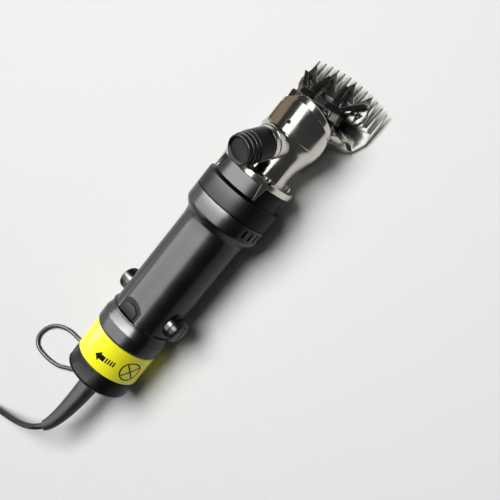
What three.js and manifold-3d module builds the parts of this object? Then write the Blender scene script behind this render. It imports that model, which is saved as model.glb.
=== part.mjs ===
// Mains-powered sheep shears: motor handpiece, reduction gears, crank, fork, comb and cutter,
// lying on its gear cover and rear cap with the supply cord coiled behind it.
// Millimetres, +X forward along the tool, +Y left, +Z up, origin under the middle of the tool.
import * as THREE from 'three';
import { mergeVertices } from 'three/addons/utils/BufferGeometryUtils.js';
import Module from 'manifold-3d';

const wasm = await Module();
wasm.setup();

// ---------------------------------------------------------------- driving dimensions
// Lengths along the motor axis are measured from the rear face of the rear cap.
const CAP_R = 27.65;
const BAND_START = 18.7;
const BAND_END = 45.7;
const GRIP_R = 26.2;
const GRIP_START = 67.6;
const COVER_R = 32.5;
const RING_START = 168.5;
const SEAM = 181.5;
const COVER_EDGE = 197;
const NECK_R = 28.4;
const FLANGE_REAR = 211.6;
const FLANGE_FRONT = 216.6;
const FLANGE_R = 31;
const LUG_ANGLES = [45, 135, 225, 315];
const LUG_SCREW_R = 25.2;

const BARREL_START = 250.6;
const BED_UNDERSIDE = -31.9;
// Front edge of the hood over the fork seen from the side, [x, z]: it sweeps back as it goes down.
const HOOD_EDGE = [[275.6, 24], [274.6, 20.5], [272.2, 13.5], [268, 5], [262.4, -0.8], [249.2, -7.2]];
const COMB_SCREW_X = 268.5;
const COMB_SCREW_Y = 24;

// Knob axis: leans back from the vertical and passes over the fork.
const KNOB_LEAN = THREE.MathUtils.degToRad(31);
const KNOB_BASE = new THREE.Vector3(238.5, 0, 18);
const KNOB_R = 12.5;
const KNOB_START = 5.9;

// Fork swings about the fulcrum post; it is modelled on centre and then swung to the left.
const FULCRUM_X = 240;
const SWING = THREE.MathUtils.degToRad(7.2);
const CRANK_THROW = 2.42;
// The tail of the fork clears the crank pin by 0.6 mm at both ends of the swing.
const FORK_TAIL = 218.6;

// Comb and cutter.
const COMB_TOP = -31;
const SHELF_TOP = BED_UNDERSIDE - 0.3;
const COMB_PITCH = 6.1;
const COMB_TEETH = 13;
const COMB_TIP_X = 311.8;
const TIP_SAG = 5;
const CUTTER_UNDER = COMB_TOP + 0.3;
const CUTTER_TOP = CUTTER_UNDER + 2.7;

// Two-stage reduction, equal centre distances, so the output gear runs on the motor axis.
const MODULE = 0.75;
const GEAR_OFFSET = 15;
const TEETH = { pinion: 9, idlerLarge: 31, idlerSmall: 12, output: 28 };

// Eye of the hanging loop, low on the left of the rear cap, [y, z].
const LOOP_EYE = new THREE.Vector2(20, -23.4);
const LOOP_BAR_R = 1.75;

// Brush axis and the cord.
const BRUSH_X = 80;
const CORD_D = 5.2;
const COIL_MEAN_R = 5.5 * CORD_D;
const COIL_HALF = 10.4;

// Resting pose: tipped nose-up until the cap's rear edge and the cover ring both touch the floor.
const CAP_EDGE_X = 3.5;
const PITCH = Math.atan((COVER_R - CAP_R) / (RING_START - CAP_EDGE_X));
const SHIFT_X = -123.99;
const SHIFT_Y = -23.78;

// ---------------------------------------------------------------- geometry helpers
const vec = (x, y, z) => new THREE.Vector3(x, y, z);

/** A closed three.js geometry as a solid for joining and cutting. */
function solid(geometry) {
  const bare = geometry.clone();
  bare.deleteAttribute('normal');
  if (bare.attributes.uv) bare.deleteAttribute('uv');
  const merged = mergeVertices(bare, 1e-4);
  const points = merged.attributes.position.array;
  const index = merged.index.array;
  const corner = (i) => vec(points[3 * i], points[3 * i + 1], points[3 * i + 2]);
  const triangles = [];
  let volume = 0;
  for (let i = 0; i < index.length; i += 3) {
    const [a, b, c] = [index[i], index[i + 1], index[i + 2]];
    if (a === b || b === c || a === c) continue;
    triangles.push([a, b, c]);
    volume += corner(a).dot(corner(b).cross(corner(c)));
  }
  if (volume < 0) triangles.forEach((t) => t.reverse());
  return new wasm.Manifold(new wasm.Mesh({
    numProp: 3,
    vertProperties: Float32Array.from(points),
    triVerts: Uint32Array.from(triangles.flat()),
  }));
}

/** A solid back as a three.js geometry. */
function geometryOf(body) {
  const mesh = body.getMesh();
  const geometry = new THREE.BufferGeometry();
  geometry.setAttribute('position', new THREE.BufferAttribute(new Float32Array(mesh.vertProperties), 3));
  geometry.setIndex(new THREE.BufferAttribute(new Uint32Array(mesh.triVerts), 1));
  geometry.computeVertexNormals();
  return geometry;
}

const join = (first, ...rest) => rest.reduce((sum, body) => sum.add(body), first);
const cut = (first, ...rest) => rest.reduce((left, body) => left.subtract(body), first);

/** [x, radius] profile turned about the X axis. */
function turned(profile, segments = 24) {
  const geometry = new THREE.LatheGeometry(profile.map(([x, r]) => new THREE.Vector2(r, x)), segments);
  return geometry.rotateZ(-Math.PI / 2);
}

/** Hollow turned part: the profile closes on itself. */
const ring = (profile, segments) => turned([...profile, profile[0]], segments);

/** Cylinder between two points. */
function rod(from, to, radius, segments = 12) {
  const length = from.distanceTo(to);
  const geometry = turned([[0, 0], [0, radius], [length, radius], [length, 0]], segments);
  const turn = new THREE.Quaternion().setFromUnitVectors(vec(1, 0, 0), to.clone().sub(from).normalize());
  return geometry.applyQuaternion(turn).translate(from.x, from.y, from.z);
}

function box(x0, x1, y0, y1, z0, z1) {
  return new THREE.BoxGeometry(x1 - x0, y1 - y0, z1 - z0)
    .translate((x0 + x1) / 2, (y0 + y1) / 2, (z0 + z1) / 2);
}

/** Outline in the XY plane, extruded from z0 up to z1. */
function plate(outline, z0, z1) {
  const shape = new THREE.Shape(outline.map(([x, y]) => new THREE.Vector2(x, y)));
  return new THREE.ExtrudeGeometry(shape, { depth: z1 - z0, bevelEnabled: false }).translate(0, 0, z0);
}

/** Outline in the YZ plane, extruded from x0 forward to x1. */
function section(outline, x0, x1) {
  const alongX = new THREE.Matrix4().makeBasis(vec(0, 1, 0), vec(0, 0, 1), vec(1, 0, 0));
  return plate(outline, 0, x1 - x0).applyMatrix4(alongX).translate(x0, 0, 0);
}

/** Closed body skinned over rings of equal point count. */
function loft(rings) {
  const count = rings[0].length;
  const points = rings.flat();
  const faces = [];
  for (let i = 0; i + 1 < rings.length; i += 1) {
    for (let j = 0; j < count; j += 1) {
      const a = i * count + j;
      const b = i * count + ((j + 1) % count);
      faces.push(a, b, b + count, a, b + count, a + count);
    }
  }
  const cap = (start, flip) => {
    const centre = rings[start / count].reduce((sum, p) => sum.add(p), vec(0, 0, 0)).divideScalar(count);
    points.push(centre);
    for (let j = 0; j < count; j += 1) {
      const pair = [start + j, start + ((j + 1) % count)];
      faces.push(points.length - 1, ...(flip ? pair.reverse() : pair));
    }
  };
  cap(0, true);
  cap((rings.length - 1) * count, false);
  const geometry = new THREE.BufferGeometry().setFromPoints(points);
  geometry.setIndex(faces);
  geometry.computeVertexNormals();
  return geometry;
}

/** Rounded ring across the tool: half-width a, half-height b, sheared forward with height. */
function oval(x, zc, a, b, shear = 0, power = 2, count = 24) {
  return Array.from({ length: count }, (_, i) => {
    const t = (2 * Math.PI * i) / count;
    const c = Math.cos(t);
    const s = Math.sin(t);
    const y = a * Math.sign(c) * Math.abs(c) ** (2 / power);
    const z = zc + b * Math.sign(s) * Math.abs(s) ** (2 / power);
    return vec(x + shear * z, y, z);
  });
}

/** Half outline [x, y] mirrored into a ring at height z. */
function mirrored(half, z) {
  const left = half.map(([x, y]) => vec(x, y, z));
  const right = half.slice(1, -1).reverse().map(([x, y]) => vec(x, -y, z));
  return [...left, ...right];
}

/** Round bar of changing radius along a curve. */
function tapered(curve, radius, steps, sides = 20) {
  const frames = curve.computeFrenetFrames(steps, false);
  return loft(Array.from({ length: steps + 1 }, (_, i) => {
    const centre = curve.getPointAt(i / steps);
    return Array.from({ length: sides }, (__, j) => {
      const t = (2 * Math.PI * j) / sides;
      return centre.clone()
        .addScaledVector(frames.normals[i], radius(i / steps) * Math.cos(t))
        .addScaledVector(frames.binormals[i], radius(i / steps) * Math.sin(t));
    });
  }));
}

/** Spur gear outline in the YZ plane, one tooth centred at the phase angle. */
function gearOutline(teeth, phase, cy, cz) {
  const pitchR = (MODULE * teeth) / 2;
  const step = (2 * Math.PI) / teeth;
  const flank = [[-0.29, -0.95], [-0.09, 0.8], [0.09, 0.8], [0.29, -0.95]];
  return Array.from({ length: teeth }, (_, k) => flank.map(([turn, height]) => {
    const angle = phase + (k + turn) * step;
    const r = pitchR + height * MODULE;
    return [cy + r * Math.cos(angle), cz + r * Math.sin(angle)];
  })).flat();
}

const polar = (degrees, r) => {
  const t = THREE.MathUtils.degToRad(degrees);
  return [r * Math.cos(t), r * Math.sin(t)];
};

// ---------------------------------------------------------------- materials
const finish = (color, roughness, metalness) => (
  new THREE.MeshStandardMaterial({ color, roughness, metalness }));
const BLACK_PLASTIC = finish(0x1d1e1f, 0.42, 0);
const BLACK_RUBBER = finish(0x232425, 0.75, 0);
const YELLOW_LABEL = finish(0xe8e337, 0.4, 0);
const CAST_ALUMINIUM = finish(0xb9b8b2, 0.35, 1);
const STEEL = finish(0x9a9a98, 0.28, 1);
const DARK_STEEL = finish(0x2a2a2b, 0.35, 0.9);
const BRASS = finish(0xb08d4a, 0.35, 1);
const COPPER = finish(0xb0683a, 0.4, 1);
const CARBON = finish(0x2b2b2d, 0.8, 0);
const LAMINATION = finish(0x6d6f72, 0.5, 0.8);
const NYLON = finish(0xd9d4c4, 0.55, 0);
const GLOSS_CORD = finish(0x151516, 0.25, 0);
const NICKEL = finish(0xc9c9c6, 0.2, 1);

// ---------------------------------------------------------------- scene graph
const shears = new THREE.Group();
const tool = new THREE.Group();
const swinging = new THREE.Group();
shears.add(tool);
tool.add(swinging);
tool.rotation.y = -PITCH;
const restHeight = CAP_R * Math.cos(PITCH) - CAP_EDGE_X * Math.sin(PITCH);
tool.position.set(SHIFT_X, SHIFT_Y, restHeight);
swinging.position.set(FULCRUM_X, 0, 0);
swinging.rotation.z = SWING;

function place(name, shape, material, parent = tool) {
  const geometry = shape instanceof THREE.BufferGeometry ? shape : geometryOf(shape);
  const mesh = new THREE.Mesh(geometry, material);
  mesh.name = name;
  parent.add(mesh);
  return mesh;
}

/** Bodies of the swinging fork are drawn in tool coordinates and hung from the fulcrum. */
function placeSwinging(name, shape, material) {
  place(name, shape, material, swinging).position.x = -FULCRUM_X;
}

// ---------------------------------------------------------------- rear cap and band
function rearCap() {
  const shell = solid(ring([
    [0, 3.0], [0, 21.5], [0.7, 24.6], [1.9, 26.6], [CAP_EDGE_X, CAP_R], [18.3, CAP_R], [18.6, 27.0],
    [46.1, 27.0], [46.1, 24.3], [4.0, 24.3], [4.0, 3.0],
  ], 32));
  const gland = solid(ring([[-4, 3.0], [-4, 9.6], [-3.2, 10.4], [1, 10.4], [1, 3.0]], 20));
  const ear = solid(box(1.2, 5.2, 25, LOOP_EYE.length(), -4, 4).rotateX(LOOP_EYE.angle()));
  const { x: y, y: z } = LOOP_EYE;
  const earEnd = solid(rod(vec(1.2, y, z), vec(5.2, y, z), 4));
  const eye = solid(rod(vec(0, y, z), vec(7, y, z), 2.4));
  return cut(join(shell, gland, ear, earEnd), eye);
}
place('rear_cap', rearCap(), BLACK_PLASTIC);
place('label_band', ring([
  [BAND_START, 27.3], [BAND_START, 27.75], [BAND_END, 27.75], [BAND_END, 27.3],
], 32), YELLOW_LABEL);

// ---------------------------------------------------------------- motor housing
function motorHousing() {
  const shell = solid(ring([
    [46.5, 23.3], [46.5, 28.0], [47.4, 28.8], [57.5, 28.9], [65.2, 26.7], [65.6, 27.6], [66.8, 27.6],
    [GRIP_START, GRIP_R], [157, GRIP_R], [161.5, 27.2], [165.2, 30.0], [RING_START, COVER_R],
    [SEAM - 0.3, COVER_R], [SEAM - 0.3, 29.3], [169, 29.3], [169, 23.3],
  ], 32));
  const bosses = LUG_ANGLES.map((a) => {
    const [y, z] = polar(a, LUG_SCREW_R);
    return solid(rod(vec(168, y, z), vec(SEAM - 0.3, y, z), 4.6));
  });
  const bossHoles = LUG_ANGLES.map((a) => {
    const [y, z] = polar(a, LUG_SCREW_R);
    return solid(rod(vec(171, y, z), vec(SEAM + 1, y, z), 1.9));
  });
  const brushBosses = [-1, 1].map((side) => (
    solid(rod(vec(BRUSH_X, 24.2 * side, 0), vec(BRUSH_X, 28.6 * side, 0), 9.6))));
  const brushHoles = [-1, 1].map((side) => (
    solid(rod(vec(BRUSH_X, 20 * side, 0), vec(BRUSH_X, 30 * side, 0), 6.8))));
  const vents = [-1, 1].flatMap((side) => [-24, -12, 0, 12, 24].map((a) => {
    const slot = box(171.5, 178.5, 27, 35, -1.3, 1.3);
    return solid(slot.rotateX(THREE.MathUtils.degToRad(side > 0 ? a : 180 + a)));
  }));
  const thumbWell = solid(plate(
    [[67.2, -12], ...Array.from({ length: 11 }, (_, i) => {
      const t = Math.PI * (i / 10 - 0.5);
      return [70 + 12 * Math.cos(t), 12 * Math.sin(t)];
    }), [67.2, 12]],
    23.9,
    40,
  ));
  const inside = solid(turned([[60, 0], [60, 23.3], [90, 23.3], [90, 0]], 32));
  const bossRing = brushBosses.map((boss) => boss.subtract(inside));
  const switchSlot = solid(box(69.2, 75.8, -3.3, 3.3, 20, 40));
  return cut(
    join(shell, ...bosses, ...bossRing),
    ...bossHoles, ...brushHoles, ...vents, thumbWell, switchSlot,
  );
}
place('motor_housing', motorHousing(), BLACK_PLASTIC);

function switchSlider() {
  const outline = [[68, -7.5], [73.8, -7.5], [77, -3.5], [77, 3.5], [73.8, 7.5], [68, 7.5]];
  const pad = solid(plate(outline, 24.3, 25.4));
  const stem = solid(box(69.6, 71.4, -2.8, 2.8, 19.6, 25));
  return pad.add(stem);
}
place('switch_slider', switchSlider(), BLACK_PLASTIC);
place('switch_body', box(54, 86, -7, 7, 11.8, 19.2), NYLON);

// ---------------------------------------------------------------- brush gear
[['left', 1], ['right', -1]].forEach(([side, s]) => {
  const across = (geometry) => geometry.rotateZ((s * Math.PI) / 2).translate(BRUSH_X, 0, 0);
  const cap = solid(across(turned([
    [22.6, 0], [22.6, 6.2], [28.9, 6.2], [28.9, 9.0], [29.7, 9.5], [31.2, 9.5], [31.5, 8.9], [32.2, 8.9],
    [32.5, 9.4], [33.2, 9.2], [34.6, 7.9], [35.3, 5.5], [35.5, 0],
  ], 16)));
  const slot = solid(across(box(34.4, 37, -7, 7, -0.8, 0.8)));
  place(`brush_cap_${side}`, cap.subtract(slot), BLACK_PLASTIC);
  const tube = solid(across(box(12.4, 22.2, -4.6, 4.6, -4.6, 4.6)));
  const bore = solid(across(box(11, 24, -3.5, 3.5, -3.5, 3.5)));
  place(`brush_holder_${side}`, tube.subtract(bore), BRASS);
  place(`carbon_brush_${side}`, across(box(11.4, 19, -3.1, 3.1, -3.1, 3.1)), CARBON);
});

// ---------------------------------------------------------------- motor
function statorCore() {
  const yoke = solid(ring([[97, 20.3], [97, 22.9], [147, 22.9], [147, 20.3]], 24));
  const poles = [-1, 1].map((s) => solid(box(97, 147, -8, 8, s > 0 ? 10 : -21, s > 0 ? 21 : -10)));
  const gap = solid(turned([[96, 0], [96, 14.2], [148, 14.2], [148, 0]], 20));
  return join(yoke, ...poles).subtract(gap);
}
place('stator_core', statorCore(), LAMINATION);
[['upper', 1], ['lower', -1]].forEach(([name, s]) => {
  const [low, high] = s > 0 ? [12.9, 15.6] : [-15.6, -12.9];
  const frame = solid(box(92.4, 151.6, -12.4, 12.4, low, high));
  const window = solid(box(96.6, 147.4, -8.4, 8.4, low - 1, high + 1));
  const rotorRoom = solid(turned([[90, 0], [90, 14.4], [153, 14.4], [153, 0]], 20));
  place(`field_coil_${name}`, cut(frame, window, rotorRoom), COPPER);
});
function armatureCore() {
  const slots = 10;
  const outline = Array.from({ length: slots }, (_, k) => (
    [[-0.36, 13.4], [0, 13.4], [0.36, 13.4], [0.4, 9.4], [0.6, 9.4]].map(([turn, r]) => (
      polar(((k + turn) * 360) / slots, r)))
  )).flat();
  return solid(section(outline, 98, 146)).subtract(solid(rod(vec(97, 0, 0), vec(147, 0, 0), 3.5)));
}
place('armature_core', armatureCore(), LAMINATION);
place('winding_front', ring([
  [146.3, 3.3], [146.3, 9.5], [147.4, 12.2], [150.2, 12.2], [151.6, 9], [151.6, 3.3],
], 20), COPPER);
place('winding_rear', ring([
  [91.2, 3.3], [91.2, 9], [92.6, 12.2], [96.4, 12.2], [97.7, 9.5], [97.7, 3.3],
], 20), COPPER);
place('commutator', ring([[73, 3.3], [73, 11], [87, 11], [87, 11.9], [89, 11.9], [89, 3.3]], 24), COPPER);
place('motor_shaft', turned([[58.5, 0], [58.5, 3], [172.9, 3], [172.9, 0]], 16), STEEL);
function fan() {
  const hub = solid(ring([[152.6, 3.3], [152.6, 7], [161, 7], [161, 3.3]], 20));
  const disc = solid(ring([[152.6, 6], [152.6, 20.6], [154, 20.6], [154, 6]], 24));
  const blades = Array.from({ length: 9 }, (_, k) => (
    solid(box(153.5, 160.4, 6, 20.4, -0.6, 0.6).rotateX((2 * Math.PI * k) / 9))));
  return join(hub, disc, ...blades);
}
place('cooling_fan', fan(), NYLON);
place('rear_bearing', ring([[60, 3.3], [60, 8], [66, 8], [66, 3.3]], 20), STEEL);
place('front_bearing', ring([[164, 3.3], [164, 8], [171, 8], [171, 3.3]], 20), STEEL);
function rearBracket() {
  const disc = solid(ring([
    [59, 8.3], [59, 11], [62, 11], [62, 23], [64, 23], [64, 11], [67, 11], [67, 8.3],
  ], 20));
  return disc.subtract(solid(box(52, 90, -8, 8, 11.4, 30)));
}
place('rear_bearing_bracket', rearBracket(), NYLON);
function bearingPlate() {
  const body = solid(ring([
    [163.6, 8.3], [163.6, 11.5], [169.4, 11.5], [169.4, 28.9], [172.6, 28.9], [172.6, 8.3],
  ], 24));
  const notches = LUG_ANGLES.map((a) => {
    const [y, z] = polar(a, LUG_SCREW_R);
    return solid(rod(vec(168, y, z), vec(174, y, z), 5));
  });
  const pinHole = solid(rod(vec(168, 0, -GEAR_OFFSET), vec(174, 0, -GEAR_OFFSET), 1.8));
  return cut(body, ...notches, pinHole);
}
place('bearing_plate', bearingPlate(), CAST_ALUMINIUM);

// ---------------------------------------------------------------- reduction gears and crank
place('pinion', section(gearOutline(TEETH.pinion, -Math.PI / 2, 0, 0), 173.2, 180), STEEL);
function idlerGear() {
  const large = gearOutline(TEETH.idlerLarge, Math.PI / 2 + Math.PI / TEETH.idlerLarge, 0, -GEAR_OFFSET);
  const small = gearOutline(TEETH.idlerSmall, Math.PI / 2, 0, -GEAR_OFFSET);
  const bore = solid(rod(vec(170, 0, -GEAR_OFFSET), vec(195, 0, -GEAR_OFFSET), 1.8));
  return join(solid(section(large, 173.4, 178.6)), solid(section(small, 178, 189.6))).subtract(bore);
}
place('idler_gear', idlerGear(), STEEL);
place('idler_pin', rod(vec(169.5, 0, -GEAR_OFFSET), vec(192.4, 0, -GEAR_OFFSET), 1.5), STEEL);
function outputGear() {
  const phase = -Math.PI / 2 + Math.PI / TEETH.output;
  const wheel = solid(section(gearOutline(TEETH.output, phase, 0, 0), 183.2, 189.4));
  return wheel.subtract(solid(rod(vec(182, 0, 0), vec(191, 0, 0), 4.5)));
}
place('output_gear', outputGear(), STEEL);
function crankshaft() {
  const shaft = solid(turned([
    [181.4, 0], [181.4, 4], [190, 4], [190, 5], [212.2, 5], [212.2, 8.6], [215.1, 8.6], [215.1, 0],
  ], 20));
  return shaft.add(solid(rod(vec(214.5, -CRANK_THROW, 0), vec(217.2, -CRANK_THROW, 0), 2.2)));
}
place('crankshaft', crankshaft(), STEEL);
const rollerAt = (x, r) => ring([[0, r[0]], [0, r[1]], [x, r[1]], [x, r[0]]], 14);
place('crank_roller', rollerAt(1.6, [2.5, 4.0]).translate(215.5, -CRANK_THROW, 0), BRASS);
place('crank_bearing', ring([[193.6, 5.3], [193.6, 11], [206.2, 11], [206.2, 5.3]], 20), STEEL);

function gearCover() {
  const shell = solid(ring([
    [SEAM + 0.2, 29], [SEAM + 0.2, COVER_R], [COVER_EDGE - 0.5, COVER_R], [COVER_EDGE, 32],
    [198.6, NECK_R + 0.2], [211.2, NECK_R], [211.2, 6.8], [206.5, 6.8], [206.5, 11.3], [193, 11.3], [193, 29],
  ], 32));
  const bosses = LUG_ANGLES.map((a) => {
    const [y, z] = polar(a, LUG_SCREW_R);
    return solid(rod(vec(SEAM + 0.2, y, z), vec(194, y, z), 4.6));
  });
  const holes = LUG_ANGLES.map((a) => {
    const [y, z] = polar(a, LUG_SCREW_R);
    return solid(rod(vec(180, y, z), vec(213, y, z), 1.9));
  });
  const pinSeat = solid(rod(vec(190, 0, -GEAR_OFFSET), vec(193.8, 0, -GEAR_OFFSET), 1.8));
  return cut(join(shell, ...bosses), ...holes, pinSeat);
}
place('gear_cover', gearCover(), BLACK_PLASTIC);
LUG_ANGLES.forEach((a, i) => {
  const [y, z] = polar(a, LUG_SCREW_R);
  const head = solid(rod(vec(215.2, y, z), vec(218.6, y, z), 2.9));
  const shank = solid(rod(vec(173, y, z), vec(215.5, y, z), 1.6, 16));
  const socket = solid(rod(vec(217.2, y, z), vec(220, y, z), 1.5, 6));
  place(`head_screw_${i + 1}`, join(head, shank).subtract(socket), NICKEL);
});

// ---------------------------------------------------------------- head casting
const knobAxis = vec(-Math.sin(KNOB_LEAN), 0, Math.cos(KNOB_LEAN));
const alongKnob = (s) => KNOB_BASE.clone().addScaledVector(knobAxis, s);
/** Part turned about the knob axis, [distance from the base, radius]. */
function onKnob(profile, segments = 24) {
  return turned(profile, segments)
    .rotateY(-Math.PI / 2 - KNOB_LEAN)
    .translate(KNOB_BASE.x, 0, KNOB_BASE.z);
}

/** Everything ahead of the hood's slanted left front, or of a face parallel to it further on. */
function leftOf(further) {
  const slant = Math.atan2(11.1, 17.9);
  return solid(box(further, 60, -40, 60, -40, 60).rotateZ(slant).translate(264.1, 16.3, 0));
}

/** Everything beyond the hood's flat upper left side; depth is the flat's distance from the axis. */
function pastLeftFlat(depth) {
  return solid(plate([[236, depth + 6.3], [250, depth], [300, depth], [300, 60], [236, 60]], -60, 60)
    .rotateX(THREE.MathUtils.degToRad(27)));
}

function headCasting() {
  const flange = solid(turned([
    [FLANGE_REAR, 0], [FLANGE_REAR, FLANGE_R], [FLANGE_FRONT - 0.8, FLANGE_R],
    [FLANGE_FRONT, FLANGE_R - 0.8], [FLANGE_FRONT, 0],
  ], 32));
  const lugs = LUG_ANGLES.map((a) => (
    solid(plate([[213, -2.7], [213, 2.7], [199.4, 0.5], [199.4, -0.5]], 29.1, 31)
      .rotateX(THREE.MathUtils.degToRad(a - 90)))));
  const neck = solid(loft([
    oval(FLANGE_FRONT - 1, -4, 20.5, 16.5), oval(224, -4.5, 19.4, 14.6), oval(233, -4.5, 20.6, 15.6),
    oval(241, -4, 23.8, 18.6, 0, 1.9), oval(246.5, -3, 26.6, 22.2, 0, 1.8),
    oval(249.8, -2, 27.4, 23.6, 0, 1.75), oval(252, -2, 27, 23.2, 0, 1.75),
  ])).subtract(pastLeftFlat(20.6));
  const hood = solid(plate([[249, 34], [277, 34], ...HOOD_EDGE], -40, 40).rotateX(Math.PI / 2));
  const barrel = solid(loft([
    oval(BARREL_START, -2, 27.6, 23.8, 0, 1.75), oval(BARREL_START + 0.6, -2, 28.1, 24.3, 0, 1.75),
    oval(280, -2, 28.1, 24.3, 0, 1.75),
  ])).intersect(hood).subtract(leftOf(0)).subtract(pastLeftFlat(20.6));
  const collar = solid(loft([
    oval(252, -2, 24.6, 20.8), oval(259, -2, 24.6, 20.8, 0.2), oval(270.8, -2, 24.6, 20.8, 0.45),
    oval(272, -2, 23.8, 20.0, 0.45),
  ])).subtract(leftOf(4.5)).subtract(pastLeftFlat(20.6));
  const bed = solid(loft([
    mirrored([
      [232, 0], [232, 12], [240, 14.6], [252, 16], [259, 17], [262.6, 21.6],
      [264.8, 29.4], [268.5, 33.6], [272, 29.6], [275.4, 21], [276.8, 12], [277, 0],
    ], BED_UNDERSIDE),
    mirrored([
      [232, 0], [232, 12], [240, 14.6], [252, 16], [259, 17], [262.6, 21.6],
      [264.8, 29.2], [268.4, 33.4], [271.8, 29.4], [275.2, 21], [276.6, 12], [276.8, 0],
    ], -28.6),
    mirrored([
      [232.4, 0], [232.4, 11.2], [240, 14], [252, 15.6], [259, 16.6], [262.6, 20.8],
      [264.8, 27.6], [267.4, 31.6], [270.8, 28.4], [274, 20.4], [275.4, 12], [275.6, 0],
    ], -25),
    mirrored([
      [234, 0], [234, 10], [241, 13.4], [252, 15.4], [259, 16.6], [262.4, 20],
      [264.4, 24.4], [266.4, 26.4], [269.2, 24.6], [271.6, 19], [272.6, 12], [273, 0],
    ], -19),
    mirrored([
      [236, 0], [236, 9], [242, 12.4], [252, 15.4], [258, 17.6], [260.4, 19],
      [262.4, 20.6], [263.6, 21.6], [264.8, 20.6], [266, 17], [266.4, 12], [266.4, 0],
    ], -11),
  ]));
  const boss = solid(onKnob([
    [-12, 0], [-12, 13.4], [1.4, 13.3], [1.8, 12.6], [4.9, 12.4],
    [KNOB_START - 0.5, 11.9], [KNOB_START - 0.5, 0],
  ]));
  const combBosses = [-1, 1].map((s) => {
    const y = COMB_SCREW_Y * s;
    return solid(rod(vec(COMB_SCREW_X, y, BED_UNDERSIDE), vec(COMB_SCREW_X, y, -22), 4.2));
  });
  const chamber = solid(loft([
    oval(216.9, -3, 15.5, 9.6, 0, 3), oval(234, -3.6, 16.4, 10.6, 0, 3), oval(240, -6, 18, 14, 0, 3),
    oval(247, -6.5, 20.2, 17.5, 0, 2.6), oval(256, -5.4, 21.6, 20.2, 0, 2.4),
    oval(292, -5.4, 21.6, 20.2, 0, 2.4),
  ])).subtract(pastLeftFlat(18.6));
  const crankRoom = solid(turned([[210, 0], [210, 9.6], [220, 9.6], [220, 0]], 24));
  const bushBore = solid(onKnob([[-5.2, 0], [-5.2, 8.3], [8, 8.3], [8, 0]], 20));
  const pinBore = solid(onKnob([[-17, 0], [-17, 4], [2, 4], [2, 0]], 16));
  const screwRoom = LUG_ANGLES.flatMap((a) => {
    const [y, z] = polar(a, LUG_SCREW_R);
    const notch = box(214.8, 222, 21.8, 34, -3.4, 3.4).rotateX(THREE.MathUtils.degToRad(a));
    return [solid(rod(vec(205, y, z), vec(220, y, z), 1.9)), solid(notch)];
  });
  const combHoles = [-1, 1].map((s) => (
    solid(rod(vec(COMB_SCREW_X, COMB_SCREW_Y * s, -34), vec(COMB_SCREW_X, COMB_SCREW_Y * s, -23), 1.9))));
  const postHole = solid(rod(vec(FULCRUM_X, 0, -34), vec(FULCRUM_X, 0, -12), 4.5));
  const oilHole = solid(rod(vec(258.4, -4.1, 12), vec(258.4, -4.1, 30), 1.6, 12));
  return cut(
    join(flange, ...lugs, neck, barrel, collar, bed, boss, ...combBosses),
    chamber, crankRoom, bushBore, pinBore, ...screwRoom, ...combHoles, postHole, oilHole,
  );
}
place('head_casting', headCasting(), CAST_ALUMINIUM);

// ---------------------------------------------------------------- tension knob and pin
place('tension_knob', onKnob([
  [KNOB_START, 8.4], [KNOB_START, KNOB_R - 0.2], [6.2, KNOB_R], [20.6, KNOB_R], [21, 11.2], [21.8, 11.2],
  [22.1, 12.2], [24.2, 12.2], [24.5, 10.9], [25.1, 10.9], [25.4, 12], [28, 12], [28.5, 10.6], [28.5, 7.4],
  [26, 7.4], [26, 8.4], [KNOB_START, 8.4],
]), BLACK_PLASTIC);
place('knob_cap', onKnob([
  [26.6, 0], [26.6, 7.1], [28.8, 7.1], [28.8, 11], [29.2, 11.3], [31.2, 11.3], [31.8, 10.8], [31.8, 10],
  [31, 7], [30.6, 0],
]), BLACK_PLASTIC);
place('tension_bush', onKnob([[-4.9, 3.9], [-4.9, 8], [11, 8], [11, 3.9], [-4.9, 3.9]], 20), BRASS);
place('tension_pin', onKnob([[-15.4, 0], [-15.4, 1.4], [-13.6, 3.5], [22, 3.5], [22, 0]], 16), STEEL);

// ---------------------------------------------------------------- fulcrum, fork, forks and cutter
place('fulcrum_post', turned([
  [-31.6, 0], [-31.6, 4], [-12.4, 4], [-10.4, 3.5], [-9.2, 2.2], [-8.7, 0],
], 16).rotateY(-Math.PI / 2).translate(FULCRUM_X, 0, 0), STEEL);

function rect(x, y, z, halfWidth, halfHeight) {
  return [[1, 1], [-1, 1], [-1, -1], [1, -1]].map(([a, b]) => vec(x, y + a * halfWidth, z + b * halfHeight));
}
function forkBody() {
  const arm = solid(loft([
    rect(FORK_TAIL, 0, -1, 8, 6), rect(248, 0, -2.2, 8, 6.2), rect(262, 0, -7, 8, 5.6),
    rect(278, 0, -12.5, 10, 4.4),
  ]));
  const slot = solid(box(216, 226, -4.8, 4.8, -12, 12));
  const yoke = solid(loft([
    rect(273.6, 0, -12.6, 22.2, 3.4), rect(274.6, 0, -12.6, 22.8, 4.4), rect(280.4, 0, -13.2, 22.8, 4.4),
    rect(281.4, 0, -13.4, 22.2, 3.4),
  ]));
  const cup = solid(rod(vec(FULCRUM_X, 0, -12), vec(FULCRUM_X, 0, -8.0), 4.6));
  const pinCup = solid(rod(alongKnob(-17.4), alongKnob(-8), 3.3));
  return cut(join(arm, yoke), slot, cup, pinCup);
}
placeSwinging('fork_body', forkBody(), DARK_STEEL);

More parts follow.
